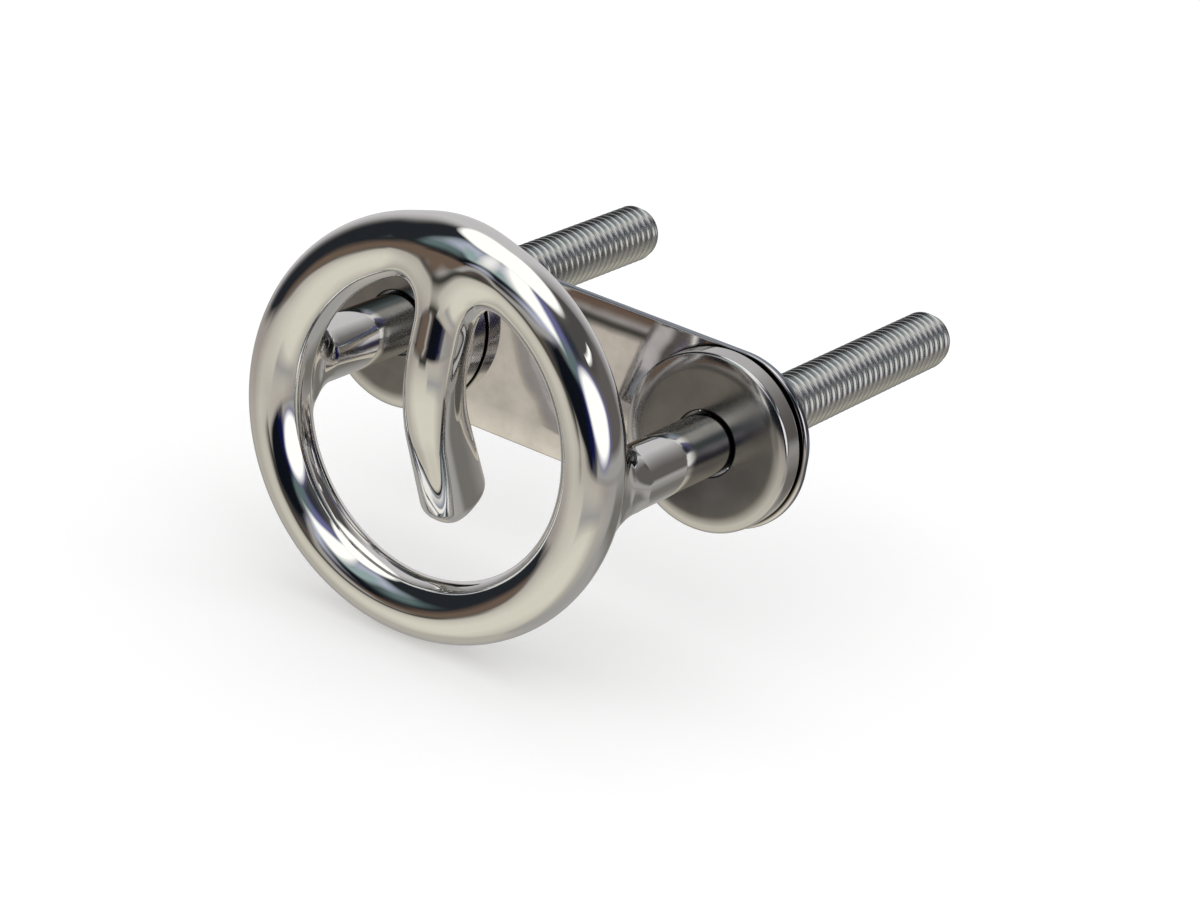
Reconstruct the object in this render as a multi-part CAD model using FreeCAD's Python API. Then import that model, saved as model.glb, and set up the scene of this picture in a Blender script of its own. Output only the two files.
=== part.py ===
import FreeCAD, Part

import math
import os

from FreeCAD import Vector

# A transom ski tow eye of polished stainless steel, all sizes in millimetres.
# The origin is the middle of the plate's back face, which bears on the transom.
# +Y runs along the studs into the boat, +Z is up and X runs from stud to stud.

# The eye ring and the two shanks behind it
RING_MEAN_RADIUS = 23.3
RING_BAR_DIAMETER = 7.9
STUD_SPACING = 47.6
SHANK_DIAMETER = 8.0
SHANK_LENGTH = 25.3
SHANK_ROOT_BLEND = 2.6

# The threaded studs, drawn at the thread's outer diameter; the thread starts where
# the shank comes out of the plate's back
STUD_DIAMETER = 7.94
STUD_LENGTH = 54.6
STUD_CHAMFER_DEPTH = 0.95
STUD_CHAMFER_LENGTH = 1.7

# The tongue that hangs in the eye: it leans forward a little at its root, bends
# and runs down and back towards the boat
TONGUE_WIDTH = 7.0
TONGUE_ROOT_THICKNESS = 7.7
TONGUE_TIP_THICKNESS = 8.8
TONGUE_ROOT_BLEND = 3.4
TONGUE_ROOT_LENGTH = 11.5
TONGUE_FORWARD_LEAN = 6.8
TONGUE_BEND_RADIUS = 20.0
TONGUE_BACK_LEAN = 29.4
TONGUE_TIP_LENGTH = 14.1
TONGUE_TIP_ROUNDING = 3.0
TONGUE_SQUARENESS = 2.3

# The base plate, a thin flat bar whose ends are nearly half circles: only a short
# flat is left in the middle of each end
PLATE_LENGTH = 72.0
PLATE_WIDTH = 23.5
PLATE_THICKNESS = 1.3
PLATE_END_FLAT = 1.6
PLATE_HOLE_CLEARANCE = 0.5
PLATE_EDGE_ROUNDING = 0.3

# The two cover discs, which slide on the shanks and bear on the plate. They are as
# wide as the plate, whose ends stand out a little behind them
DISC_DIAMETER = PLATE_WIDTH
DISC_THICKNESS = 3.6
DISC_HOLE_CLEARANCE = 0.3
DISC_FRONT_ROUNDING = 0.5
DISC_BACK_ROUNDING = 0.6

# Places along Y that follow from the stack of plate, discs and shanks
PLATE_FRONT_Y = -PLATE_THICKNESS
DISC_FRONT_Y = PLATE_FRONT_Y - DISC_THICKNESS
RING_Y = DISC_FRONT_Y - SHANK_LENGTH

SIDES = {"left": -1, "right": 1}
AXIS_Y = Vector(0, 1, 0)
BAR_RADIUS = RING_BAR_DIAMETER / 2
SHANK_RADIUS = SHANK_DIAMETER / 2
STUD_RADIUS = STUD_DIAMETER / 2
DISC_RADIUS = DISC_DIAMETER / 2


def stud_x(side):
    """X of the axis that a shank, its stud and its disc share."""
    return SIDES[side] * STUD_SPACING / 2


def rod(x, y_from, y_to, radius):
    """Round bar along Y."""
    return Part.makeCylinder(radius, y_to - y_from, Vector(x, y_from, 0), AXIS_Y)


def upright_ellipse(x, y, half_x, half_z):
    """Closed ellipse across the Y direction; half_z is the longer half."""
    centre = Vector(x, y, 0)
    if half_z - half_x < 1e-6:
        return Part.Wire([Part.Circle(centre, AXIS_Y, half_z).toShape()])
    top = centre + Vector(0, 0, half_z)
    flank = centre + Vector(half_x, 0, 0)
    return Part.Wire([Part.Ellipse(top, flank, centre).toShape()])


def make_shank_root(side):
    """Flare between a shank and the back of the ring's bar.

    Its height follows a hollow arc from the shank down to the bar, while its
    width draws in, so that the last section lies inside the bar.
    """
    bar_x = SIDES[side] * RING_MEAN_RADIUS
    wires = []
    for share in (0.0, 0.25, 0.5, 0.75, 1.0):
        angle = math.pi / 2 * share
        y = RING_Y + BAR_RADIUS + SHANK_ROOT_BLEND * (1 - math.sin(angle))
        half_z = SHANK_RADIUS + SHANK_ROOT_BLEND * (1 - math.cos(angle))
        half_x = SHANK_RADIUS + (0.9 * BAR_RADIUS - SHANK_RADIUS) * share
        x = stud_x(side) + (bar_x - stud_x(side)) * share
        wires.append(upright_ellipse(x, y, half_x, half_z))
    wires.append(upright_ellipse(bar_x, RING_Y + BAR_RADIUS / 2, BAR_RADIUS / 2, half_z))
    return Part.makeLoft(wires, True, False)


def squared_oval(centre, half_x, half_w, lean):
    """Closed smooth oval round centre with half_x along X and half_w across it.

    Where lean is 0 its plane is level, and a lean turns that plane about X.
    """
    across = Vector(0, math.cos(lean), math.sin(lean))
    count = 12
    points = []
    for step in range(count):
        angle = 2 * math.pi * step / count
        c, s = math.cos(angle), math.sin(angle)
        x = half_x * math.copysign(abs(c) ** (2 / TONGUE_SQUARENESS), c)
        w = half_w * math.copysign(abs(s) ** (2 / TONGUE_SQUARENESS), s)
        points.append(centre + Vector(x, 0, 0) + across * w)
    curve = Part.BSplineCurve()
    curve.interpolate(Points=points, PeriodicFlag=True)
    return Part.Wire([curve.toShape()])


def tongue_path(distance):
    """Centre and lean of the tongue at a distance along it from the bar's middle."""
    forward = -math.radians(TONGUE_FORWARD_LEAN)
    back = math.radians(TONGUE_BACK_LEAN)
    bend_length = TONGUE_BEND_RADIUS * (back - forward)
    straight = min(distance, TONGUE_ROOT_LENGTH)
    bent = min(max(distance - TONGUE_ROOT_LENGTH, 0), bend_length)
    beyond = max(distance - TONGUE_ROOT_LENGTH - bend_length, 0)
    lean = forward + bent / TONGUE_BEND_RADIUS
    centre = Vector(0, RING_Y, RING_MEAN_RADIUS)
    centre += Vector(0, math.sin(forward), -math.cos(forward)) * straight
    centre += Vector(0, math.cos(forward) - math.cos(lean),
                     math.sin(forward) - math.sin(lean)) * TONGUE_BEND_RADIUS
    centre += Vector(0, math.sin(back), -math.cos(back)) * beyond
    return centre, lean


def tongue_loft(stations):
    """Smooth solid through stations of distance, half width and half thickness."""
    wires = []
    for distance, half_x, half_w in stations:
        centre, lean = tongue_path(distance)
        wires.append(squared_oval(centre, half_x, half_w, lean))
    return Part.makeLoft(wires, True, False)


def make_tongue():
    """Tongue in three lofts: the flared root, the body and the rounded tip."""
    turn = math.radians(TONGUE_FORWARD_LEAN + TONGUE_BACK_LEAN)
    length = TONGUE_ROOT_LENGTH + TONGUE_BEND_RADIUS * turn + TONGUE_TIP_LENGTH
    half_width = TONGUE_WIDTH / 2
    root_half = TONGUE_ROOT_THICKNESS / 2
    tip_half = TONGUE_TIP_THICKNESS / 2
    flare_half = half_width + TONGUE_ROOT_BLEND
    inner_radius = RING_MEAN_RADIUS - BAR_RADIUS
    flare_top = RING_MEAN_RADIUS - math.sqrt(inner_radius ** 2 - flare_half ** 2)
    flare_end = flare_top + TONGUE_ROOT_BLEND
    tip_start = length - TONGUE_TIP_ROUNDING

    root = [(flare_top * share, flare_half, root_half) for share in (0.0, 0.33, 0.67)]
    for degrees in (75, 50, 25, 0):
        angle = math.radians(degrees)
        root.append((flare_end - TONGUE_ROOT_BLEND * math.sin(angle),
                     half_width + TONGUE_ROOT_BLEND * (1 - math.cos(angle)), root_half))
    body = []
    for share in (0.0, 0.2, 0.4, 0.6, 0.8, 1.0):
        body.append((flare_end + (tip_start - flare_end) * share, half_width,
                     root_half + (tip_half - root_half) * share))
    tip = []
    for degrees in (0, 25, 50, 75):
        angle = math.radians(degrees)
        inset = TONGUE_TIP_ROUNDING * (1 - math.cos(angle))
        tip.append((tip_start + TONGUE_TIP_ROUNDING * math.sin(angle),
                    half_width - inset, tip_half - inset))
    return tongue_loft(root).fuse(tongue_loft(body)).fuse(tongue_loft(tip))


def make_stud(side):
    """Stud behind the plate, with the chamfer at its end."""
    x = stud_x(side)
    chamfer_y = STUD_LENGTH - STUD_CHAMFER_LENGTH
    tip_radius = STUD_RADIUS - STUD_CHAMFER_DEPTH
    stud = rod(x, 0, chamfer_y, STUD_RADIUS)
    tip = Part.makeCone(STUD_RADIUS, tip_radius, STUD_CHAMFER_LENGTH, Vector(x, chamfer_y, 0), AXIS_Y)
    return stud.fuse(tip)


def make_tow_ring():
    """The casting: the studs, the shanks and their roots, the ring and its tongue."""
    shank_from = RING_Y + BAR_RADIUS + SHANK_ROOT_BLEND
    members = [make_stud(side) for side in SIDES]
    members += [rod(stud_x(side), shank_from, 0, SHANK_RADIUS) for side in SIDES]
    members += [make_shank_root(side) for side in SIDES]
    members.append(Part.makeTorus(RING_MEAN_RADIUS, BAR_RADIUS, Vector(0, RING_Y, 0), AXIS_Y))
    members.append(make_tongue())
    casting = members[0].fuse(members[1:])
    # Its faces are listed from the studs' tips to the ring, so that whoever looks for
    # the studs in the file meets them before the shanks, which are nearly as thick
    faces = sorted(casting.Faces, key=lambda face: -face.CenterOfMass.y)
    return Part.Solid(Part.Shell(faces))


def make_cover_disc(side):
    """Thick round disc with rounded rims and a loose hole for the shank."""
    x = stud_x(side)
    disc = rod(x, DISC_FRONT_Y, PLATE_FRONT_Y, DISC_RADIUS)
    for y, rounding in ((DISC_FRONT_Y, DISC_FRONT_ROUNDING), (PLATE_FRONT_Y, DISC_BACK_ROUNDING)):
        circles = [edge for edge in disc.Edges if edge.isClosed()]
        rim = [edge for edge in circles if abs(edge.Curve.Center.y - y) < 1e-6]
        disc = disc.makeFillet(rounding, rim)
    hole_radius = SHANK_RADIUS + DISC_HOLE_CLEARANCE
    return disc.cut(rod(x, DISC_FRONT_Y, PLATE_FRONT_Y, hole_radius))


def make_base_plate():
    """Flat plate with round-cornered ends, eased edges and a hole for each shank."""
    corner = Vector(-PLATE_LENGTH / 2, PLATE_FRONT_Y, -PLATE_WIDTH / 2)
    plate = Part.makeBox(PLATE_LENGTH, PLATE_THICKNESS, PLATE_WIDTH, corner)
    corners = [edge for edge in plate.Edges if abs(edge.tangentAt(edge.FirstParameter).y) > 0.99]
    plate = plate.makeFillet((PLATE_WIDTH - PLATE_END_FLAT) / 2, corners)
    rims = [edge for edge in plate.Edges if edge.BoundBox.YLength < PLATE_THICKNESS / 2]
    plate = plate.makeFillet(PLATE_EDGE_ROUNDING, rims)
    for side in SIDES:
        plate = plate.cut(rod(stud_x(side), PLATE_FRONT_Y, 0, SHANK_RADIUS + PLATE_HOLE_CLEARANCE))
    return plate


def main():
    nodes = {"tow_ring": make_tow_ring(), "base_plate": make_base_plate()}
    for side in SIDES:
        nodes["cover_disc_" + side] = make_cover_disc(side)
    os.makedirs("parts", exist_ok=True)
    for name, shape in nodes.items():
        shape.exportStep("parts/" + name + ".step")
        box = shape.BoundBox
        print(name, "solids", len(shape.Solids), "valid", shape.isValid(), "volume", round(shape.Volume, 1),
              "size", round(box.XLength, 2), round(box.YLength, 2), round(box.ZLength, 2))


main()
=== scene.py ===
# %% [markdown]
# # A ski tow eye of polished stainless steel
# This fitting is bolted through a boat's transom, and a ski rope is looped over the tongue
# that hangs in its ring. It comes apart into four pieces: one casting (ring, tongue, two
# shanks and two threaded studs), two thick cover discs and one base plate.
# All shapes here are worked out in millimetres and turned into metres when a mesh is made.

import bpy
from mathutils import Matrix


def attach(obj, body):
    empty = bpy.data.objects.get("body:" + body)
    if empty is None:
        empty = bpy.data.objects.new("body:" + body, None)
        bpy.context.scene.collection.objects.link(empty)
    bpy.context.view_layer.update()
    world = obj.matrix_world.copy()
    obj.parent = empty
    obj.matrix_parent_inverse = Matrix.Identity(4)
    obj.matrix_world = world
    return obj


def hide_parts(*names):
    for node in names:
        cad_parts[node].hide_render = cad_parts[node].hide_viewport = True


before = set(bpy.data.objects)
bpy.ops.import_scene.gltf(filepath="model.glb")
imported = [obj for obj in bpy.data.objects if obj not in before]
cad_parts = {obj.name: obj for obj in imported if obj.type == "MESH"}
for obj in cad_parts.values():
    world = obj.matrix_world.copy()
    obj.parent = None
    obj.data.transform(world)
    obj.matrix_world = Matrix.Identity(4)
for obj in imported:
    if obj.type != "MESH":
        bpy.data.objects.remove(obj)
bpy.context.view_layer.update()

# %% The tools that the cells below share
import itertools
import math

import bmesh
import bpy
import numpy as np
from mathutils import Matrix, Vector
from mathutils.geometry import tessellate_polygon

MM = 0.001
print("working in Blender", bpy.app.version_string)

# %% [markdown]
# ## One helper that turns points and faces into an object
# A polished surface shows every small error in its normals, because they steer the
# reflections. So each shape below also says its own exact normals, and Blender keeps
# them as custom normals. Where a shape leaves them open, Blender's own are used.

# %% Make an object from points, faces and normals


def make_object(name, points, faces, normals):
    """Object from points in mm; a normal of zero length is left to Blender."""
    mesh = bpy.data.meshes.new(name)
    mesh.from_pydata([tuple(p) for p in np.asarray(points) * MM], [], faces)
    mesh.validate()
    shape = bmesh.new()
    shape.from_mesh(mesh)
    bmesh.ops.recalc_face_normals(shape, faces=shape.faces)
    shape.to_mesh(mesh)
    shape.free()
    mesh.shade_smooth()
    own = np.array([v.normal for v in mesh.vertices])
    given = np.asarray(normals, dtype=float)
    stated = np.linalg.norm(given, axis=1) > 0.5
    own[stated] = given[stated]
    mesh.normals_split_custom_set_from_vertices([tuple(n) for n in own])
    piece = bpy.data.objects.new(name, mesh)
    bpy.context.scene.collection.objects.link(piece)
    open_edges = sum(1 for n in edge_uses(mesh) if n != 2)
    triangles = sum(len(f.vertices) - 2 for f in mesh.polygons)
    print(name, "has", triangles, "triangles and", open_edges, "edges that don't join two faces")
    return piece


def edge_uses(mesh):
    """How many faces meet at each edge."""
    uses = np.zeros(len(mesh.edges), int)
    for loop in mesh.loops:
        uses[loop.edge_index] += 1
    return uses


# %% [markdown]
# ## The casting as a distance function
# The casting is one piece of metal whose members run into each other with soft, hand
# ground fillets. A lathe or a sweep can't make such fillets. A distance function can: it
# gives the distance from any point to the surface, below zero inside the metal, and two
# of them can be blended. Each member below returns its distance and the direction that
# leads away from it, because the blend needs to know at which angle two members meet.

# %% Distance to the ring
RING_RADIUS = 23.3
RING_Y = -30.2
BAR_RADIUS = 3.95


def ring(p):
    """Round bar bent into a ring that stands upright in the plane y = RING_Y."""
    out = p * [1, 0, 1]
    radius = np.maximum(np.linalg.norm(out, axis=1), 1e-9)
    offset = out * ((radius - RING_RADIUS) / radius)[:, None]
    offset[:, 1] = p[:, 1] - RING_Y
    reach = np.maximum(np.linalg.norm(offset, axis=1), 1e-9)
    return reach - BAR_RADIUS, offset / reach[:, None]


print("the ring is", 2 * (RING_RADIUS + BAR_RADIUS), "mm across")

# %% [markdown]
# The tongue and the shanks have flattened round sections. A squared oval covers both: its
# power is 2 for an ellipse and grows towards a rectangle. Its distance is exact only near
# the surface, which is all that the skin needs.

# %% Distance to a squared oval


def squared_oval(u, v, half_u, half_v, power):
    """Distance to an oval across u and v, and the way out along u and along v."""
    a = np.abs(u) / half_u
    b = np.abs(v) / half_v
    size = np.maximum((a ** power + b ** power) ** (1 / power), 0.05)
    out_u = np.sign(u) * (a / size) ** (power - 1) / half_u
    out_v = np.sign(v) * (b / size) ** (power - 1) / half_v
    steep = np.maximum(np.hypot(out_u, out_v), 1e-3)
    return (size - 1) / steep, out_u / steep, out_v / steep


# %% [markdown]
# The tongue leaves the top of the ring with a slight forward lean, bends, and runs down and
# back towards the boat, so that a rope's loop stays behind it. Its centre line is a straight
# run, an arc and a second straight run. A point's lean is the angle at which the arc's
# centre sees it, held between the leans of the two straight runs.

# %% The tongue's sizes and its centre line
TONGUE_HALF_WIDTH = 3.5
TONGUE_ROOT_HALF = 3.85
TONGUE_TIP_HALF = 4.4
ROOT_SQUARENESS = 2.2
TIP_SQUARENESS = 2.5
TONGUE_TIP_ROUNDING = 3.0
ROOT_RUN = 11.5
BEND_RADIUS = 20.0
ROOT_LEAN = math.radians(-6.8)
TIP_LEAN = math.radians(29.4)
TIP_RUN = 14.1
BEND_RUN = BEND_RADIUS * (TIP_LEAN - ROOT_LEAN)
TONGUE_LENGTH = ROOT_RUN + BEND_RUN + TIP_RUN
ABOVE_THE_BAR = 1.6


def tongue_frame(lean):
    """Direction along the tongue and the direction across it, towards its back."""
    lean = np.atleast_1d(lean)
    nothing = np.zeros_like(lean)
    along = np.stack([nothing, np.sin(lean), -np.cos(lean)], 1)
    across = np.stack([nothing, np.cos(lean), np.sin(lean)], 1)
    return along, across


root_along, root_across = tongue_frame(ROOT_LEAN)
BEND_CENTRE = (np.array([0, RING_Y, RING_RADIUS]) + root_along[0] * ROOT_RUN
               + root_across[0] * BEND_RADIUS)
print("the tongue is", round(TONGUE_LENGTH, 1), "mm long and bends over", round(BEND_RUN, 1), "mm")

# %% [markdown]
# The tongue grows thicker and squarer from root to tip. Above the middle of the ring's bar it
# is closed off by a rounded end, where it runs into the bar.

# %% Distance to the tongue


def tongue(p):
    """The tongue, from the middle of the ring's bar to its rounded tip."""
    spoke = BEND_CENTRE - p
    lean = np.clip(np.arctan2(spoke[:, 2], spoke[:, 1]), ROOT_LEAN, TIP_LEAN)
    along, across = tongue_frame(lean)
    offset = p - (BEND_CENTRE - across * BEND_RADIUS)
    run = ROOT_RUN + BEND_RADIUS * (lean - ROOT_LEAN) + (offset * along).sum(1)
    depth = (offset * across).sum(1)
    depth = np.sign(depth) * np.hypot(depth, ABOVE_THE_BAR * np.minimum(run, 0))
    stations = [ROOT_RUN, TONGUE_LENGTH - TONGUE_TIP_ROUNDING]
    half_depth = np.interp(run, stations, [TONGUE_ROOT_HALF, TONGUE_TIP_HALF])
    power = np.interp(run, stations, [ROOT_SQUARENESS, TIP_SQUARENESS])
    side, out_x, out_depth = squared_oval(p[:, 0], depth, TONGUE_HALF_WIDTH, half_depth, power)
    a = side + TONGUE_TIP_ROUNDING
    b = run - TONGUE_LENGTH + TONGUE_TIP_ROUNDING
    distance = (np.minimum(np.maximum(a, b), 0) - TONGUE_TIP_ROUNDING
                + np.hypot(np.maximum(a, 0), np.maximum(b, 0)))
    away = across * out_depth[:, None]
    away[:, 0] = out_x
    return distance, away


# %% [markdown]
# Each shank is a round bar that starts inside the ring's bar, a little narrower than it, and
# swells to its full width just behind it.

# %% Distance to a shank
STUD_X = 23.8
SHANK_RADIUS = 4.0
SHANK_BLEND = 2.6
SHANK_FULL_Y = RING_Y + BAR_RADIUS + SHANK_BLEND


def shank(p, side):
    """Shank on the left (side -1) or on the right (side 1), without an end."""
    stations = [RING_Y + BAR_RADIUS / 2, RING_Y + BAR_RADIUS, SHANK_FULL_Y]
    half_x = np.interp(p[:, 1], stations, [BAR_RADIUS / 2, 0.9 * BAR_RADIUS, SHANK_RADIUS])
    centre = side * np.interp(p[:, 1], stations, [RING_RADIUS, RING_RADIUS, STUD_X])
    distance, out_x, out_z = squared_oval(p[:, 0] - centre, p[:, 2], half_x, SHANK_RADIUS, 2)
    away = np.stack([out_x, np.zeros_like(out_x), out_z], 1)
    return np.maximum(distance, stations[0] - p[:, 1]), away


print("each shank is", 2 * SHANK_RADIUS, "mm thick, and they stand", 2 * STUD_X, "mm apart")

# %% [markdown]
# Two members are blended by lowering the smaller distance wherever the two are nearly equal.
# A plain blend also swells surfaces that run side by side. Here its reach grows with the
# angle at which the members meet, so it fills corners most. The little that is left where
# they run side by side lets the tongue's front flow out of the bar without a crease.

# %% Blend the members into one casting
LEAST_FILLET = 1.5
TONGUE_FILLET = 4.2
SHANK_FILLET = 3.0
NUDGE = 0.002


def blended(first, second, reach):
    """The union of two members with a fillet in the corner between them."""
    (d1, away1), (d2, away2) = first, second
    meeting = 1 - (away1 * away2).sum(1) ** 2
    reach = LEAST_FILLET + reach * meeting
    overlap = np.maximum(reach - np.abs(d1 - d2), 0)
    away = np.where((d1 < d2)[:, None], away1, away2)
    return np.minimum(d1, d2) - overlap ** 2 / (4 * reach), away


def casting(p):
    """Distance to the whole casting in front of the plate."""
    body = blended(ring(p), tongue(p), TONGUE_FILLET)
    for side in (-1, 1):
        body = blended(body, shank(p, side), SHANK_FILLET)
    return body[0]


def slope(p):
    """How the distance grows along x, y and z."""
    nudges = NUDGE * np.eye(3)
    return np.stack([(casting(p + n) - casting(p - n)) / (2 * NUDGE) for n in nudges], 1)


def settle(p, rounds=3):
    """Move points straight on to the surface."""
    for _ in range(rounds):
        way = slope(p)
        p = p - way * (casting(p) / (way ** 2).sum(1))[:, None]
    return p


print("from the eye's middle to the nearest metal:",
      round(float(casting(np.array([[0.0, RING_Y, 0.0]]))[0]), 2), "mm")

# %% [markdown]
# ## A skin over the distance function
# The space round the casting is cut into small cubes. Each cube that the surface passes
# through gets one point, and the four cubes round a crossed grid edge make a face. The
# points are then evened out and moved exactly on to the surface, so no steps are left.

# %% Cut a box into cubes and find the surface in it


def lay_skin(low, high, step):
    """Points and four-sided faces of the casting's surface inside a box."""
    counts = np.ceil((np.array(high) - low) / step).astype(int) + 1
    axes = [low[k] + step * np.arange(counts[k]) for k in range(3)]
    slabs = [np.stack(np.meshgrid([x], *axes[1:], indexing="ij"), -1).reshape(-1, 3)
             for x in axes[0]]
    inside = np.stack([(casting(slab) < 0).reshape(counts[1:]) for slab in slabs])
    filled = sum(inside[i:counts[0] - 1 + i, j:counts[1] - 1 + j, k:counts[2] - 1 + k].astype(int)
                 for i, j, k in itertools.product((0, 1), repeat=3))
    crossed = (filled > 0) & (filled < 8)
    number = np.full(crossed.shape, -1)
    number[crossed] = np.arange(crossed.sum())
    cells = np.argwhere(crossed)
    faces = []
    for axis in range(3):
        u = np.roll([1, 0, 0], axis + 1)
        v = np.roll([1, 0, 0], axis + 2)
        first = np.take(inside, range(counts[axis] - 1), axis)
        second = np.take(inside, range(1, counts[axis]), axis)
        edges = np.argwhere(first != second)
        room = (edges @ u > 0) & (edges @ v > 0)
        room &= (edges @ u < counts @ u - 1) & (edges @ v < counts @ v - 1)
        edges = edges[room]
        corners = [number[tuple(c.T)] for c in (edges, edges - u, edges - u - v, edges - v)]
        quads = np.stack(corners, 1)
        turned = second[tuple(edges.T)]
        quads[turned] = quads[turned][:, ::-1]
        faces.append(quads)
    points = np.array(low) + (cells + 0.5) * step
    return points, np.concatenate(faces), cells[:, 1] == counts[1] - 2


# %% Even out the points


def evened(points, faces, fixed, rounds=12):
    """Draw each point towards the middle of its neighbours and back on to the surface."""
    pairs = np.concatenate([faces[:, [k, (k + 1) % 4]] for k in range(4)])
    start, end = np.concatenate([pairs, pairs[:, ::-1]]).T
    degree = np.bincount(start, minlength=len(points))
    for _ in range(rounds):
        middle = np.stack([np.bincount(start, points[end, k], len(points)) for k in range(3)], 1)
        drawn = points + 0.5 * (middle / degree[:, None] - points)
        points = settle(np.where(fixed[:, None], points, drawn), 1)
    return points


# %% [markdown]
# The skin covers the ring, the tongue and the roots of the shanks. It ends on the straight
# part of the shanks, where the points of its open rim are left in their plane.

# %% Lay the skin
GRID_STEP = 0.42
SKIN_END_Y = -17.8
reach = RING_RADIUS + BAR_RADIUS + 1.0
skin_low = [-reach, RING_Y - BAR_RADIUS - 1.5, -reach]
skin_points, skin_faces, skin_rim = lay_skin(skin_low, [reach, SKIN_END_Y, reach], GRID_STEP)
skin_points = settle(evened(settle(skin_points), skin_faces, skin_rim))
skin_normals = slope(skin_points)
skin_normals /= np.linalg.norm(skin_normals, axis=1)[:, None]
print("the skin has", len(skin_points), "points; the largest distance left is",
      round(float(np.abs(casting(skin_points)).max()), 6), "mm")

# %% [markdown]
# ## The threaded studs
# The studs carry a coarse 5/16 inch thread, 18 turns to the inch. The mesh's rows follow
# the helix, so crest and root stay sharp lines all the way along. Rows that would run past
# either end of the stud are pressed flat against that end. The thread grows in over its first
# turn, and at the tip it still notches the chamfer, though less deeply.

# %% The thread's profile
THREAD_PITCH = 25.4 / 18
THREAD_DEPTH = 0.80
STUD_RADIUS = 3.97
STUD_LENGTH = 54.6
CHAMFER_LENGTH = 1.7
CHAMFER_DEPTH = 0.95
END_NOTCH = 0.5
AROUND = 64
PROFILE = ((0.0, 0.0), (0.10, 0.04), (0.22, 0.45), (0.36, 0.94),
           (0.50, 1.0), (0.64, 0.94), (0.78, 0.45), (0.90, 0.04))


def thread_radius(y, share):
    """Radius at y, where share is how deep the profile is there: 0 on a crest, 1 in a root."""
    start = np.clip(y / THREAD_PITCH, 0, 1)
    outline = np.minimum(STUD_RADIUS, STUD_RADIUS - CHAMFER_DEPTH
                         * (y - STUD_LENGTH + CHAMFER_LENGTH) / CHAMFER_LENGTH)
    cut = share * start
    return np.minimum(outline - END_NOTCH * cut, STUD_RADIUS - THREAD_DEPTH * cut)


print("the thread turns", round(STUD_LENGTH / THREAD_PITCH, 1), "times on each stud")

# %% Wind the thread


def wind_thread(axis_x):
    """Points and faces of one thread, with the numbers of its first and last ring."""
    rows = len(PROFILE) * (int(STUD_LENGTH / THREAD_PITCH) + 3)
    row = np.arange(rows)
    phase = np.array([stop[0] for stop in PROFILE])[row % len(PROFILE)] + row // len(PROFILE) - 1
    share = np.array([stop[1] for stop in PROFILE])[row % len(PROFILE)]
    points, first, last, numbers = [], [], [], []
    for column in range(AROUND):
        y = THREAD_PITCH * (phase + column / AROUND)
        begin = np.flatnonzero(y <= 0)[-1]
        end = np.flatnonzero(y >= STUD_LENGTH)[0]
        kept = np.clip(y[begin:end + 1], 0, STUD_LENGTH)
        radius = thread_radius(kept, share[begin:end + 1])
        angle = 2 * math.pi * column / AROUND
        first.append(len(points))
        numbers.append(len(points) + np.clip(row, begin, end) - begin)
        points += [(axis_x + r * math.cos(angle), at, r * math.sin(angle))
                   for r, at in zip(radius, kept)]
        last.append(len(points) - 1)
    turn_on = np.append(numbers[0][len(PROFILE):], [numbers[0][-1]] * len(PROFILE))
    numbers.append(turn_on)
    faces = []
    for a, b in itertools.pairwise(numbers):
        for corners in zip(a[:-1], a[1:], b[1:], b[:-1]):
            unique = list(dict.fromkeys(int(c) for c in corners))
            if len(unique) > 2:
                faces.append(unique)
    return points, faces, first, last


# %% [markdown]
# The skin ends in an uneven loop round each shank, while the thread starts with an even
# ring. A strip of triangles joins two such loops: it walks round both at once and always
# steps on the loop whose next point comes first.

# %% Join two loops


def zipped(loop_a, angles_a, loop_b, angles_b):
    """Triangles between two closed loops that run round the same axis."""
    order_a, order_b = np.argsort(angles_a), np.argsort(angles_b)
    a = [(angles_a[k], loop_a[k]) for k in order_a]
    b = [(angles_b[k], loop_b[k]) for k in order_b]
    a.append((a[0][0] + 2 * math.pi, a[0][1]))
    b.append((b[0][0] + 2 * math.pi, b[0][1]))
    i = j = 0
    faces = []
    while i < len(a) - 1 or j < len(b) - 1:
        step_a = j == len(b) - 1 or (i < len(a) - 1 and a[i + 1][0] < b[j + 1][0])
        if step_a:
            faces.append((a[i][1], a[i + 1][1], b[j][1]))
            i += 1
        else:
            faces.append((a[i][1], b[j + 1][1], b[j][1]))
            j += 1
    return faces


# %% Put the casting together
points = skin_points.tolist()
normals = skin_normals.tolist()
faces = skin_faces.tolist()
turns = 2 * math.pi * np.arange(AROUND) / AROUND
for side in (-1, 1):
    axis_x = side * STUD_X
    rim = [int(k) for k in np.flatnonzero(skin_rim & (skin_points[:, 0] * side > 0))]
    rim_angles = [math.atan2(points[k][2], points[k][0] - axis_x) % (2 * math.pi) for k in rim]
    rings = []
    for y in (SKIN_END_Y + 1.0, -8.0, 0.0):
        rings.append(list(range(len(points), len(points) + AROUND)))
        points += [(axis_x + SHANK_RADIUS * math.cos(t), y, SHANK_RADIUS * math.sin(t))
                   for t in turns]
        normals += [(math.cos(t), 0, math.sin(t)) for t in turns]
    thread_points, thread_faces, first, last = wind_thread(axis_x)
    base = len(points)
    points += thread_points
    normals += [(0, 0, 0)] * len(thread_points)
    faces += [[base + k for k in face] for face in thread_faces]
    rings.append([base + k for k in first])
    tip = [base + k for k in last]
    faces += zipped(rim, rim_angles, rings[0], turns)
    for a, b in itertools.pairwise(rings):
        faces += [(a[k], a[(k + 1) % AROUND], b[(k + 1) % AROUND], b[k]) for k in range(AROUND)]
    points.append((axis_x, STUD_LENGTH, 0))
    normals.append((0, 1, 0))
    faces += [(tip[k], tip[(k + 1) % AROUND], len(points) - 1) for k in range(AROUND)]

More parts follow.
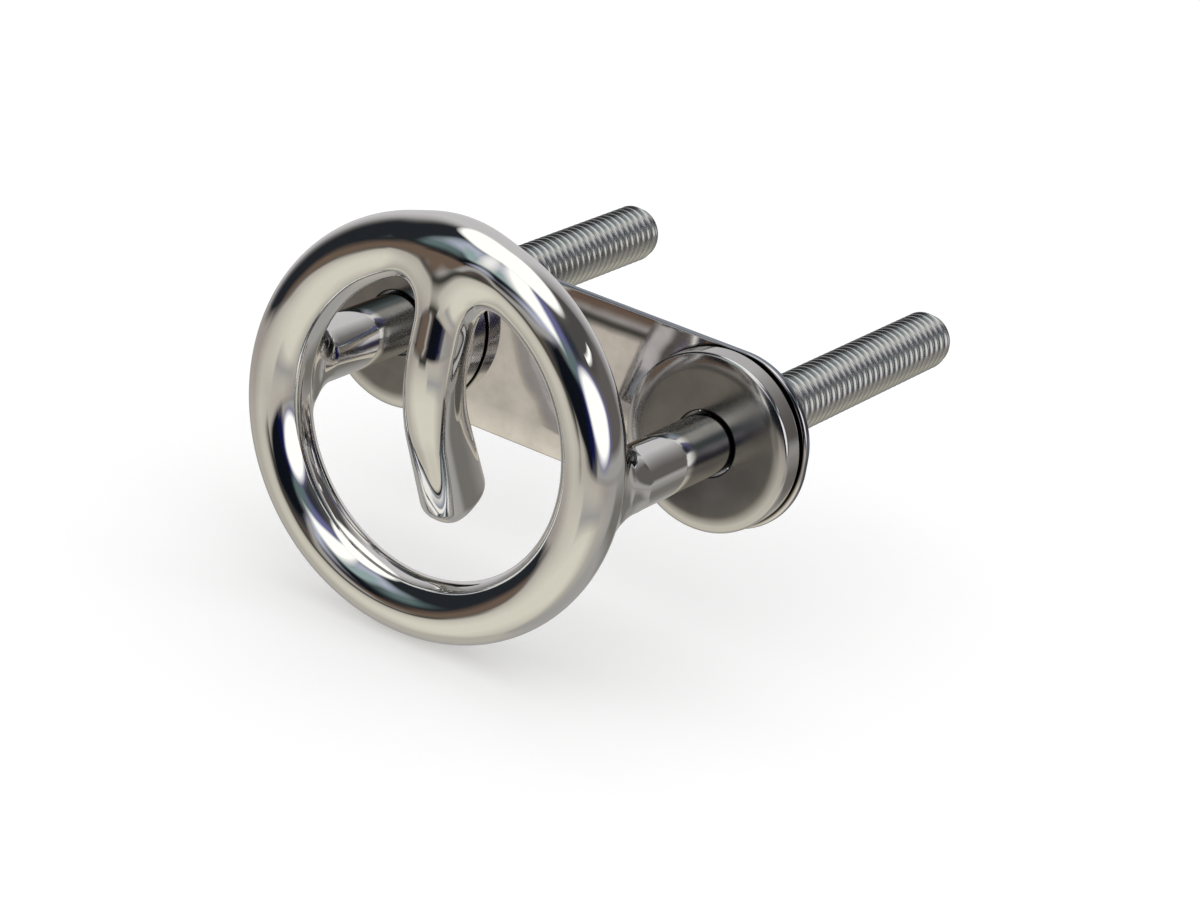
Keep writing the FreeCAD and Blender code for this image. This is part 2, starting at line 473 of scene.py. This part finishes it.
casting_piece = make_object("casting", points, faces, normals)
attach(casting_piece, "root")
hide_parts("tow_ring")

# %% [markdown]
# ## The plate and the two discs
# All three are flat slabs with eased edges and holes: the plate is cut from flat bar with
# well rounded corners, and each disc is turned. One helper makes both from closed loops.
# Every loop carries the direction that leads out of the metal, and the helper rolls the
# front face over the edge to the back face along a small arc.

# %% Loops for outlines and holes


def arc_loop(centre_x, centre_z, radius, count, start=0.0, sweep=2 * math.pi, inward=False):
    """Points on an arc and the ways out of the metal there; a whole turn leaves its end out."""
    closed = abs(sweep - 2 * math.pi) < 1e-9
    angles = start + sweep * np.arange(count) / (count if closed else count - 1)
    ways = np.stack([np.cos(angles), np.sin(angles)], 1)
    return ways * radius + [centre_x, centre_z], -ways if inward else ways


def plate_outline(half_x, half_z, corner, count):
    """A rectangle with round corners, as one loop."""
    parts = []
    for k, (sx, sz) in enumerate(((1, 1), (-1, 1), (-1, -1), (1, -1))):
        parts.append(arc_loop(sx * (half_x - corner), sz * (half_z - corner), corner, count,
                              k * math.pi / 2, math.pi / 2))
    return np.concatenate([p for p, _ in parts]), np.concatenate([n for _, n in parts])


# %% Make a slab from loops


def rounded_edge(radius, steps=8):
    """Section of a rounded edge: how far in, how far down, and its slope in radians."""
    angles = np.radians(90) * np.arange(steps + 1) / steps
    return [(radius * (1 - math.sin(a)), radius * (1 - math.cos(a)), a) for a in angles]


def buffed_edge(width, drop, radius, steps=10):
    """A face that falls off over a width, as buffing leaves it, and then a rounded edge."""
    section = []
    for share in np.arange(steps) / steps:
        slope_here = 2 * drop / (width - radius) * share
        section.append((width - share * (width - radius), drop * share ** 2, math.atan(slope_here)))
    lean = math.atan(2 * drop / (width - radius))
    for angle in lean + (math.radians(90) - lean) * np.arange(7) / 6:
        inset = radius * (1 - math.sin(angle)) / (1 - math.sin(lean))
        section.append((inset, drop + radius * (math.cos(lean) - math.cos(angle)), angle))
    return section


def make_slab(name, loops, front, back):
    """Slab from front to back along y; each loop is its points, ways out and two sections."""
    points, normals, faces = [], [], []
    front_loops, back_loops = [], []
    for outline, ways, front_section, back_section in loops:
        rings = []
        stations = [(*station, front, -1) for station in front_section]
        stations += [(*station, back, 1) for station in back_section[::-1]]
        for inset, drop, angle, y, facing in stations:
            rings.append(range(len(points), len(points) + len(outline)))
            points += [(x, y - facing * drop, z) for x, z in outline - ways * inset]
            normals += [(nx * math.sin(angle), facing * math.cos(angle), nz * math.sin(angle))
                        for nx, nz in ways]
        for a, b in itertools.pairwise(rings):
            count = len(outline)
            faces += [(a[k], a[(k + 1) % count], b[(k + 1) % count], b[k]) for k in range(count)]
        front_loops.append(rings[0])
        back_loops.append(rings[-1])
    for face_loops in (front_loops, back_loops):
        numbers = [k for loop in face_loops for k in loop]
        flat = [[Vector((points[k][0], points[k][2], 0)) for k in loop] for loop in face_loops]
        faces += [tuple(numbers[k] for k in corners) for corners in tessellate_polygon(flat)]
    return make_object(name, points, faces, normals)


# %% The base plate
PLATE_LENGTH = 72.0
PLATE_WIDTH = 23.5
PLATE_FRONT = -1.3
PLATE_END_FLAT = 1.6
PLATE_EDGE = rounded_edge(0.3)
HOLE_EDGE = rounded_edge(0.08, 3)
PLATE_BUFFED_EDGE = buffed_edge(4.0, 0.30, 0.3)
PLATE_HOLE = SHANK_RADIUS + 0.5
PLATE_CORNER = (PLATE_WIDTH - PLATE_END_FLAT) / 2
outline, ways = plate_outline(PLATE_LENGTH / 2, PLATE_WIDTH / 2, PLATE_CORNER, 36)
plate_loops = [(outline, ways, PLATE_BUFFED_EDGE, PLATE_EDGE)]
for side in (-1, 1):
    hole = arc_loop(side * STUD_X, 0, PLATE_HOLE, 64, inward=True)
    plate_loops.append((*hole, HOLE_EDGE, HOLE_EDGE))
plate_piece = make_slab("plate", plate_loops, PLATE_FRONT, 0.0)
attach(plate_piece, "root")
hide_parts("base_plate")

# %% The cover discs
DISC_THICKNESS = 3.6
DISC_FRONT = PLATE_FRONT - DISC_THICKNESS
DISC_RADIUS = PLATE_WIDTH / 2
DISC_FRONT_EDGE = buffed_edge(2.4, 0.26, 0.4)
DISC_BACK_EDGE = rounded_edge(0.6)
DISC_HOLE = SHANK_RADIUS + 0.3
disc_pieces = []
for side, word in ((-1, "left"), (1, "right")):
    loops = [(*arc_loop(side * STUD_X, 0, DISC_RADIUS, 144), DISC_FRONT_EDGE, DISC_BACK_EDGE),
             (*arc_loop(side * STUD_X, 0, DISC_HOLE, 72, inward=True), HOLE_EDGE, HOLE_EDGE)]
    disc = make_slab("disc_" + word, loops, DISC_FRONT, PLATE_FRONT)
    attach(disc, "root")
    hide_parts("cover_disc_" + word)
    disc_pieces.append(disc)

# %% [markdown]
# ## Shader maths as Python expressions
# A shader is a graph of nodes, which is hard to read as code. The class below wraps one
# socket, so that an expression such as `1 - mask * 0.5` adds the Math nodes it needs.

# %% One class for sockets


class Wire:
    """A socket that takes part in arithmetic; every operator adds one Math node."""

    def __init__(self, socket):
        self.socket = socket

    def node(self, kind, settings, inputs, out=0):
        """Add a node of this kind, set it up, feed its sockets and return one output."""
        tree = self.socket.id_data
        node = tree.nodes.new("ShaderNode" + kind)
        for name, value in settings.items():
            setattr(node, name, value)
        for name, value in inputs.items():
            if isinstance(value, Wire):
                tree.links.new(value.socket, node.inputs[name])
            else:
                node.inputs[name].default_value = value
        return Wire(node.outputs[out])

    def maths(self, operation, *values, clamp=False):
        """Add a Math node whose first value is this wire."""
        inputs = dict(enumerate((self, *values)))
        return self.node("Math", {"operation": operation, "use_clamp": clamp}, inputs)

    def __add__(self, other):
        return self.maths("ADD", other)

    __radd__ = __add__

    def __sub__(self, other):
        return self.maths("SUBTRACT", other)

    def __rsub__(self, other):
        return self.maths("MULTIPLY_ADD", -1, other)

    def __mul__(self, other):
        return self.maths("MULTIPLY", other)

    __rmul__ = __mul__

    def __truediv__(self, other):
        return self.maths("DIVIDE", other)

    def __pow__(self, other):
        return self.maths("POWER", other)

    def __gt__(self, other):
        return self.maths("GREATER_THAN", other)

    def __abs__(self):
        return self.maths("ABSOLUTE")

    def clamped(self):
        """The same value, held between 0 and 1."""
        return self.maths("ADD", 0, clamp=True)

    def scaled(self, factors):
        """A vector whose parts are multiplied by three factors."""
        return self.node("VectorMath", {"operation": "MULTIPLY"}, {0: self, 1: factors})

    def part(self, name):
        """X, Y or Z of a vector."""
        return self.node("SeparateXYZ", {}, {0: self}, out=name)


def mixed(factor, first, second):
    """Colour between first, where the factor is 0, and second, where it is 1."""
    rgba = [c if isinstance(c, Wire) else (*c, 1) for c in (first, second)]
    settings = {"data_type": "RGBA", "clamp_factor": True}
    return factor.node("Mix", settings, {0: factor, 6: rgba[0], 7: rgba[1]}, out=2)


def noise(where, scale, detail=2.0, roughness=0.5):
    """Smooth random value from 0 to 1 over a vector."""
    settings = {"noise_dimensions": "3D"}
    inputs = {"Vector": where, "Scale": scale, "Detail": detail, "Roughness": roughness}
    return where.node("TexNoise", settings, inputs, out="Fac")


# %% Start a material


def new_metal(name):
    """A material with its place in mm as a wire and its Principled node."""
    material = bpy.data.materials.new(name)
    material.use_nodes = True
    surface = next(n for n in material.node_tree.nodes if n.type == "BSDF_PRINCIPLED")
    surface.inputs["Metallic"].default_value = 1.0
    here = material.node_tree.nodes.new("ShaderNodeTexCoord").outputs["Object"]
    return material, Wire(here).scaled((1000, 1000, 1000)), surface


def feed(surface, name, wire):
    """Link a wire to one of the Principled node's sockets."""
    surface.id_data.links.new(wire.socket, surface.inputs[name])


def bumped(height, distance, over=None):
    """Normal for a relief of this height in mm, where over is a coarser relief's normal."""
    inputs = {"Height": height, "Distance": distance * MM}
    if over is not None:
        inputs["Normal"] = over
    return height.node("Bump", {}, inputs)


# %% [markdown]
# ## The casting's finish
# The ring is ground and buffed by hand until it shines like a mirror. What the buffing wheel
# leaves is a slight waviness, which bends the reflections, and a haze of very fine lines.
# The thread is cut afterwards and never buffed: it is duller. Its roots are painted dark,
# partly as dirt and partly as painted shade for the light the narrow grooves trap. The part
# of a shank that is hidden in its disc and in the plate is painted near black: painted shade.

# %% Buffed steel with a dull thread
STEEL = (0.80, 0.795, 0.78)
THREAD_STEEL = (0.50, 0.50, 0.485)
# Near black: dirt in the thread roots, and painted shade in the roots, holes and grooves between
# parts.
DIRT_AND_SHADE = (0.020, 0.019, 0.018)
CASTING_WAVES = 0.16
GRAIN = 0.0003
NEAR_SHANK = 5.0
STUD_TIP = 0.6

casting_steel, place, surface = new_metal("casting_steel")
x, y, z = (place.part(name) for name in "XYZ")
from_axis = ((abs(x) - STUD_X) ** 2 + z ** 2) ** 0.5
near_axis = NEAR_SHANK - from_axis > 0.0
threaded = (y > 0.0) * near_axis
# Painted shade: the shank inside its disc and plate is painted near black, where the hole shades
# it.
in_hole = (y > DISC_FRONT + 0.3) * (0.0 - y > 0.0) * near_axis
depth = ((STUD_RADIUS - from_axis) / THREAD_DEPTH).clamped()
tip = ((y - STUD_LENGTH + STUD_TIP) / 0.4).clamped()
haze = noise(place, 1.4, 4.0, 0.6)
lines = noise(place.scaled((0.6, 6.0, 0.6)), 2.0, 3.0, 0.7)
polish = 0.03 + 0.05 * (haze * lines)
cut = 0.20 + 0.10 * noise(place, 3.0)
feed(surface, "Roughness", polish + threaded * (cut - polish))
clean = mixed(haze, STEEL, tuple(0.97 * c for c in STEEL))
# The roots darken with depth: partly dirt, partly painted shade in the narrow grooves.
cut_colour = mixed(depth ** 2.5 * (1 - tip), THREAD_STEEL, DIRT_AND_SHADE)
feed(surface, "Base Color", mixed(in_hole, mixed(threaded, clean, cut_colour), DIRT_AND_SHADE))
waves = bumped(noise(place, 0.11, 1.0), CASTING_WAVES)
feed(surface, "Normal", bumped(lines, GRAIN, over=waves))
casting_piece.data.materials.append(casting_steel)

# %% [markdown]
# ## The finish of the plate and the discs
# These are buffed less. Flat steel shows the wheel's strokes as faint streaks: along the
# plate, and round the discs. Handling leaves cloudy, slightly duller places.

# %% Streaked steel
FLAT_WAVES = 0.05
SCUFFED = 0.10


def streaked_steel(name, colour, streaks):
    """Flat buffed steel; streaks maps the place to a vector stretched along the strokes."""
    material, place, surface = new_metal(name)
    fine = noise(streaks(place), 1.0, 3.0, 0.6)
    cloud = noise(place, 0.22, 3.0, 0.6)
    waves = bumped(noise(place, 0.16, 1.0), FLAT_WAVES)
    feed(surface, "Normal", bumped(fine, GRAIN, over=waves))
    steel = mixed((cloud - 0.3) * 2.5, colour, tuple(0.80 * c for c in colour))
    return material, place, surface, steel, fine * cloud


def along_plate(place):
    """Strokes that run from one end of the plate to the other."""
    return place.scaled((0.15, 3.0, 5.0))


def round_disc(place):
    """Strokes that run round the middle of either disc."""
    x, z = abs(place.part("X")) - STUD_X, place.part("Z")
    turn = z.maths("ARCTAN2", x)
    stretched = {0: off_axis(place) * 4.0, 1: turn * 1.2, 2: place.part("Y")}
    return place.node("CombineXYZ", {}, stretched)


def off_axis(place):
    """Distance in mm from the nearer shank's axis."""
    return ((abs(place.part("X")) - STUD_X) ** 2 + place.part("Z") ** 2) ** 0.5


def between(value, low, high, soft):
    """Mask that is 1 where a value lies between low and high."""
    return ((value - low) / soft + 0.5).clamped() * ((high - value) / soft + 0.5).clamped()


# %% [markdown]
# The grooves between a disc and the plate and the gaps round the shanks are painted nearly
# black: painted shade, where little light gets in. The plate's cut edge is painted bluish and
# darker than its face: a painted reflection of the dark room above it. The flat face of each
# disc is painted dark, as painted shade for the shadowed table it mirrors, while its rounded
# rim keeps the bright steel.

# %% Finish the plate
PLATE_STEEL = (0.80, 0.765, 0.75)
PLATE_EDGE_PAINTED_REFLECTION = (0.26, 0.29, 0.34)
PLATE_DULLNESS = 0.04
plate_steel, place, surface, steel, scuffs = streaked_steel("plate_steel", PLATE_STEEL, along_plate)
feed(surface, "Roughness", PLATE_DULLNESS + SCUFFED * scuffs)
radius, level = off_axis(place), place.part("Y")
under_disc = between(radius, DISC_RADIUS - 0.75, DISC_RADIUS + 0.2, 0.3)
# Painted shade: the plate is painted near black in the groove round each disc and round each hole.
groove = under_disc * (0.35 - abs(level - PLATE_FRONT) > 0.0)
gap = 1 - ((radius - (PLATE_HOLE + 0.7)) / 0.4).clamped()
# Painted reflection: the cut edge is painted dark and bluish, like the dark room it mirrors.
rim = between(level, PLATE_FRONT + 0.42, -0.12, 0.15)
steel = mixed(rim, steel, PLATE_EDGE_PAINTED_REFLECTION)
feed(surface, "Base Color", mixed((groove + gap).clamped(), steel, DIRT_AND_SHADE))
plate_piece.data.materials.append(plate_steel)

# %% Finish the discs
# Painted shade: the flat face is painted dark for the shadowed table it mirrors; the rim colour is
# the steel's own.
DISC_SHADED_FACE = (0.25, 0.24, 0.23)
DISC_RIM_STEEL = (0.60, 0.59, 0.58)
DISC_DULLNESS = 0.19
RIM_SHINE = 0.09
BRIGHT_RIM_WIDTH = 2.15
GROOVE_WIDTH = 0.48
disc_steel, place, surface, steel, scuffs = streaked_steel("disc_steel", DISC_SHADED_FACE, round_disc)
radius, level = off_axis(place), place.part("Y")
bright = ((radius - (DISC_RADIUS - BRIGHT_RIM_WIDTH)) / 1.2).clamped()
steel = mixed(bright, steel, DISC_RIM_STEEL)
feed(surface, "Roughness", DISC_DULLNESS - RIM_SHINE * bright + SCUFFED * scuffs)
# Painted shade: the back of each disc by the plate and the edge of its hole are painted near black.
groove = ((level - (PLATE_FRONT - GROOVE_WIDTH)) / 0.15).clamped()
gap = 1 - ((radius - (DISC_HOLE + 0.12)) / 0.1).clamped()
feed(surface, "Base Color", mixed((groove + gap).clamped(), steel, DIRT_AND_SHADE))
for disc in disc_pieces:
    disc.data.materials.append(disc_steel)
print("made", casting_steel.name, plate_steel.name, disc_steel.name)

# %% [markdown]
# ## The floor
# A white sheet under the fitting. It is lit like any surface, so it keeps the shadow, and a
# little light of its own lifts it to plain white where nothing shades it. That light doesn't
# fall on the object. The steel mirrors the painted table instead of this sheet.

# %% Lay the floor
FLOOR_Z = -(RING_RADIUS + BAR_RADIUS) - 0.05
FLOOR_REACH = 2500.0
FLOOR_GLOW = 0.26


def make_floor():
    """A round white sheet below the ring."""
    angles = 2 * math.pi * np.arange(96) / 96
    points = [(FLOOR_REACH * math.cos(t), FLOOR_REACH * math.sin(t), FLOOR_Z) for t in angles]
    floor = make_object("floor", points, [tuple(range(96))], [(0, 0, 1)] * 96)
    material = bpy.data.materials.new("floor_paper")
    material.use_nodes = True
    tree = material.node_tree
    surface = next(n for n in tree.nodes if n.type == "BSDF_PRINCIPLED")
    surface.inputs["Base Color"].default_value = (0.8, 0.8, 0.8, 1)
    surface.inputs["Roughness"].default_value = 1.0
    surface.inputs["Specular IOR Level"].default_value = 0.0
    surface.inputs["Emission Color"].default_value = (1, 1, 1, 1)
    path = tree.nodes.new("ShaderNodeLightPath")
    seen = Wire(path.outputs["Is Camera Ray"]) + Wire(path.outputs["Is Glossy Ray"])
    glow = seen.clamped() * FLOOR_GLOW
    tree.links.new(glow.socket, surface.inputs["Emission Strength"])
    floor.data.materials.append(material)
    floor.visible_glossy = False
    return floor


make_floor()

# %% [markdown]
# ## The room that the steel mirrors
# Polished steel has hardly any colour of its own: it shows the room. The camera sees plain
# white all round, and plain white lights the floor. Reflections see a photographer's
# room instead, painted by direction: a pale table below, a white ceiling, a dark wall with
# a black curtain on the camera's side, and a few soft white lamps. A direction is an azimuth,
# 0 in front of the ring and growing towards +X, and an elevation, both in degrees.

# %% Directions in the room
world = bpy.data.worlds.new("room")
bpy.context.scene.world = world
world.use_nodes = True
room_tree = world.node_tree
room_tree.nodes.clear()
direction = Wire(room_tree.nodes.new("ShaderNodeTexCoord").outputs["Generated"])
DEGREES = 180 / math.pi
turn = direction.part("X").maths("ARCTAN2", -1 * direction.part("Y")) * DEGREES
rise = direction.part("Z").maths("ARCSINE") * DEGREES


def turned_from(azimuth, lean=0.0, level=0.0):
    """Degrees left or right of an azimuth, which moves by lean for each degree above level."""
    offset = turn - azimuth
    if lean:
        offset = offset - (rise - level) * lean
    return abs(offset.maths("WRAP", 180, -180))


def panel(azimuth, elevation, half_width, half_height, soft, lean=0.0):
    """Mask of a straight or slanted patch of the room with soft edges, all in degrees."""
    sideways = ((half_width - turned_from(azimuth, lean, elevation)) / soft + 0.5).clamped()
    upright = ((half_height - abs(rise - elevation)) / soft + 0.5).clamped()
    return sideways * upright


def oval_panel(azimuth, elevation, half_width, half_height, soft):
    """Mask of an oval patch with a soft edge."""
    sideways = turned_from(azimuth) / half_width
    upright = (rise - elevation) / half_height
    across = (sideways ** 2 + upright ** 2) ** 0.5
    return ((1 - across) * (half_height / soft) + 0.5).clamped()


def above(elevation, soft):
    """Mask of all that lies higher than an elevation."""
    return ((rise - elevation) / soft + 0.5).clamped()


def painted(ground, *patches):
    """The ground colour with patches laid over it, each a mask and a colour."""
    for mask, colour in patches:
        ground = mixed(mask, ground, colour)
    return ground


# %% Name the room's colours
WHITE = (1.30, 1.30, 1.27)
MIST = (0.50, 0.53, 0.66)
LILAC = (0.64, 0.63, 0.64)
STONE = (0.40, 0.39, 0.38)
TAUPE = (0.13, 0.12, 0.115)
OLIVE = (0.085, 0.08, 0.078)
SLATE = (0.035, 0.042, 0.060)
CURTAIN = (0.020, 0.023, 0.028)
BLACK = (0.005, 0.007, 0.011)
NAVY = (0.006, 0.008, 0.060)
VIOLET = (0.17, 0.17, 0.36)
BROWN = (0.17, 0.12, 0.09)
TEAL = (0.13, 0.19, 0.19)
PALE_TEAL = (0.34, 0.46, 0.46)
HAZEL = (0.40, 0.36, 0.335)
SAND = (0.52, 0.49, 0.43)
CREAM = (0.80, 0.77, 0.66)
ASH = (0.20, 0.19, 0.175)
UMBER = (0.055, 0.055, 0.045)

# %% [markdown]
# Each patch is a mask and a colour, and a later patch covers an earlier one. A panel's numbers
# are its azimuth, its elevation, half its width, half its height and the width of its soft
# edge. The pale wall behind the boat's side comes first, then the curtain with its dark and
# tinted folds, then the lamps with their coloured fringes.

# %% Paint the walls, the curtain and the lamps
walls = painted(
    TAUPE,
    (panel(-150, 25, 42, 60, 40), LILAC),
    (panel(-55, 22, 43, 60, 26), CURTAIN),
    (panel(-38, -7, 20, 9, 12), BROWN),
    (panel(-35, 34, 9, 20, 12), TEAL),
    (panel(-24, 47, 16, 14, 14), MIST),
    (panel(-19, 34, 7, 14, 8, lean=-0.4), PALE_TEAL),
    (panel(-20, 8, 7, 10, 8, lean=0.6), BLACK),
    (panel(80, 46, 75, 14, 8), OLIVE),
    (panel(45, 42, 20, 10, 14), SLATE),
    (panel(24, 42, 14, 20, 14), VIOLET),
    (panel(28, 20, 14, 12, 10), TEAL),
    (panel(14, 0, 22, 14, 6, lean=0.6), BLACK),
    (panel(32, 2, 7, 12, 6), NAVY),
    (panel(1, 18, 7, 12, 8, lean=1.0), MIST),
    (panel(5, 44, 14, 21, 8), WHITE),
    (panel(-13, 1, 3.2, 15, 4, lean=1.1), STONE),
    (panel(100, -8, 55, 5.5, 6), STONE),
    (oval_panel(67, 13, 34, 20, 7), VIOLET),
    (oval_panel(64, 13, 29, 18, 5), WHITE),
    (panel(104, 39, 19, 1.8, 2.5), WHITE),
    (above(63, 5), WHITE))

# %% Paint the table
table = painted(
    HAZEL,
    (1 - above(-25, 14), SAND),
    (panel(5, -50, 60, 28, 34), CREAM),
    (panel(42, -26, 36, 4, 8), STONE),
    (panel(140, -50, 44, 50, 40), STONE),
    (panel(-148, -38, 40, 22, 20), STONE),
    (panel(152, -27, 30, 10, 12), ASH),
    (panel(-45, -13, 22, 2.5, 3), ASH),
    (panel(-22, -10, 13, 8, 5), UMBER))
TABLE_EDGE = -13
room = mixed(above(TABLE_EDGE, 3.5), table, walls)

# %% Light the room
WHITE_BACKDROP = (1.0, 1.0, 1.0)
path = room_tree.nodes.new("ShaderNodeLightPath")
glossy = Wire(path.outputs["Is Glossy Ray"])
shown = mixed(glossy, WHITE_BACKDROP, room)
background = direction.node("Background", {}, {"Color": shown, "Strength": 1.0})
output = room_tree.nodes.new("ShaderNodeOutputWorld")
room_tree.links.new(background.socket, output.inputs["Surface"])
print("the room has", len(room_tree.nodes), "nodes")

# %% [markdown]
# ## The camera
# It stands in front of the ring, to the right and above, and is rolled a little, as the
# photograph's camera was. A long lens from half a metre away keeps the perspective gentle.

# %% Place the camera
CAMERA_AZIMUTH = math.radians(29.362)
CAMERA_ELEVATION = math.radians(22.535)
CAMERA_ROLL = math.radians(9.699)
CAMERA_PLACE = Vector((231.47, -399.96, 181.90)) * MM
SENSOR_WIDTH = 36
IMAGE_WIDTH = 1200
FOCAL_LENGTH = 3873.85 / IMAGE_WIDTH * SENSOR_WIDTH

back = Vector((math.sin(CAMERA_AZIMUTH) * math.cos(CAMERA_ELEVATION),
               -math.cos(CAMERA_AZIMUTH) * math.cos(CAMERA_ELEVATION),
               math.sin(CAMERA_ELEVATION)))
level = Vector((math.cos(CAMERA_AZIMUTH), math.sin(CAMERA_AZIMUTH), 0))
upright = back.cross(level)
right = level * math.cos(CAMERA_ROLL) + upright * math.sin(CAMERA_ROLL)
up = upright * math.cos(CAMERA_ROLL) - level * math.sin(CAMERA_ROLL)
camera = bpy.data.objects.new("camera", bpy.data.cameras.new("camera"))
camera.data.sensor_width = SENSOR_WIDTH
camera.data.lens = FOCAL_LENGTH
camera.data.clip_start = 0.01
turned = Matrix((right, up, back)).transposed().to_4x4()
camera.matrix_world = Matrix.Translation(CAMERA_PLACE) @ turned
bpy.context.scene.collection.objects.link(camera)
bpy.context.scene.camera = camera
bpy.context.scene.view_settings.view_transform = "Standard"
print("the lens is", round(FOCAL_LENGTH, 1), "mm")
